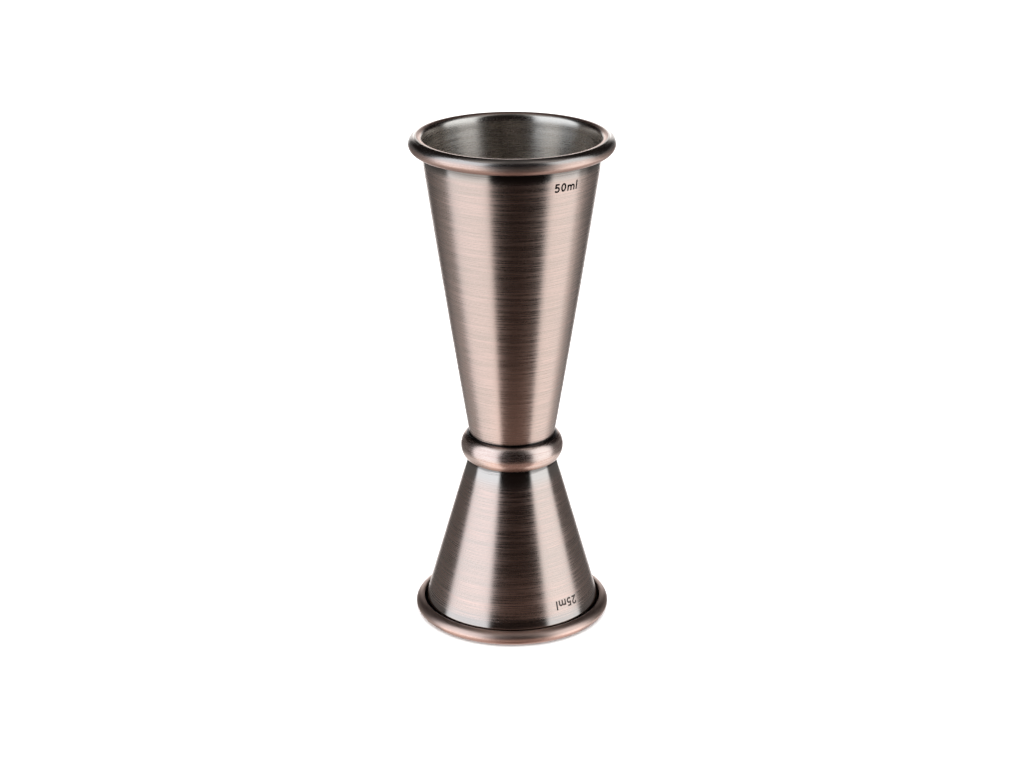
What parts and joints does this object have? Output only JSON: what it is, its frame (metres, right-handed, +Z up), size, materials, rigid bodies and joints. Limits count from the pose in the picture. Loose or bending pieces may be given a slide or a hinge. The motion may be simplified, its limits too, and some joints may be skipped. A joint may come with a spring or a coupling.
{
  "type": "bar jigger",
  "caption": "Double-ended cocktail measure: a tall tapered cup standing on a shorter inverted one, joined at the floors behind a half-round ring.",
  "frame": {"origin": "centre of the lower rim, on the plane the jigger stands on", "axes": "+Z up along the axis of both cups, towards the 50 ml mouth; -Y is the front, and both capacity marks are to the right of it"},
  "size_m": [0.0466, 0.0466, 0.116],
  "materials": {
    "cup_copper": "antique copper plate, brushed round the axis, dark in the grooves",
    "ring_copper": "antique copper plate, satin",
    "braze": "as cast"
  },
  "bodies": {
    "root": {"upper_cup": "cup_copper", "lower_cup": "cup_copper", "waist_ring": "ring_copper", "floor_braze": "braze"}
  },
  "joints": []
}
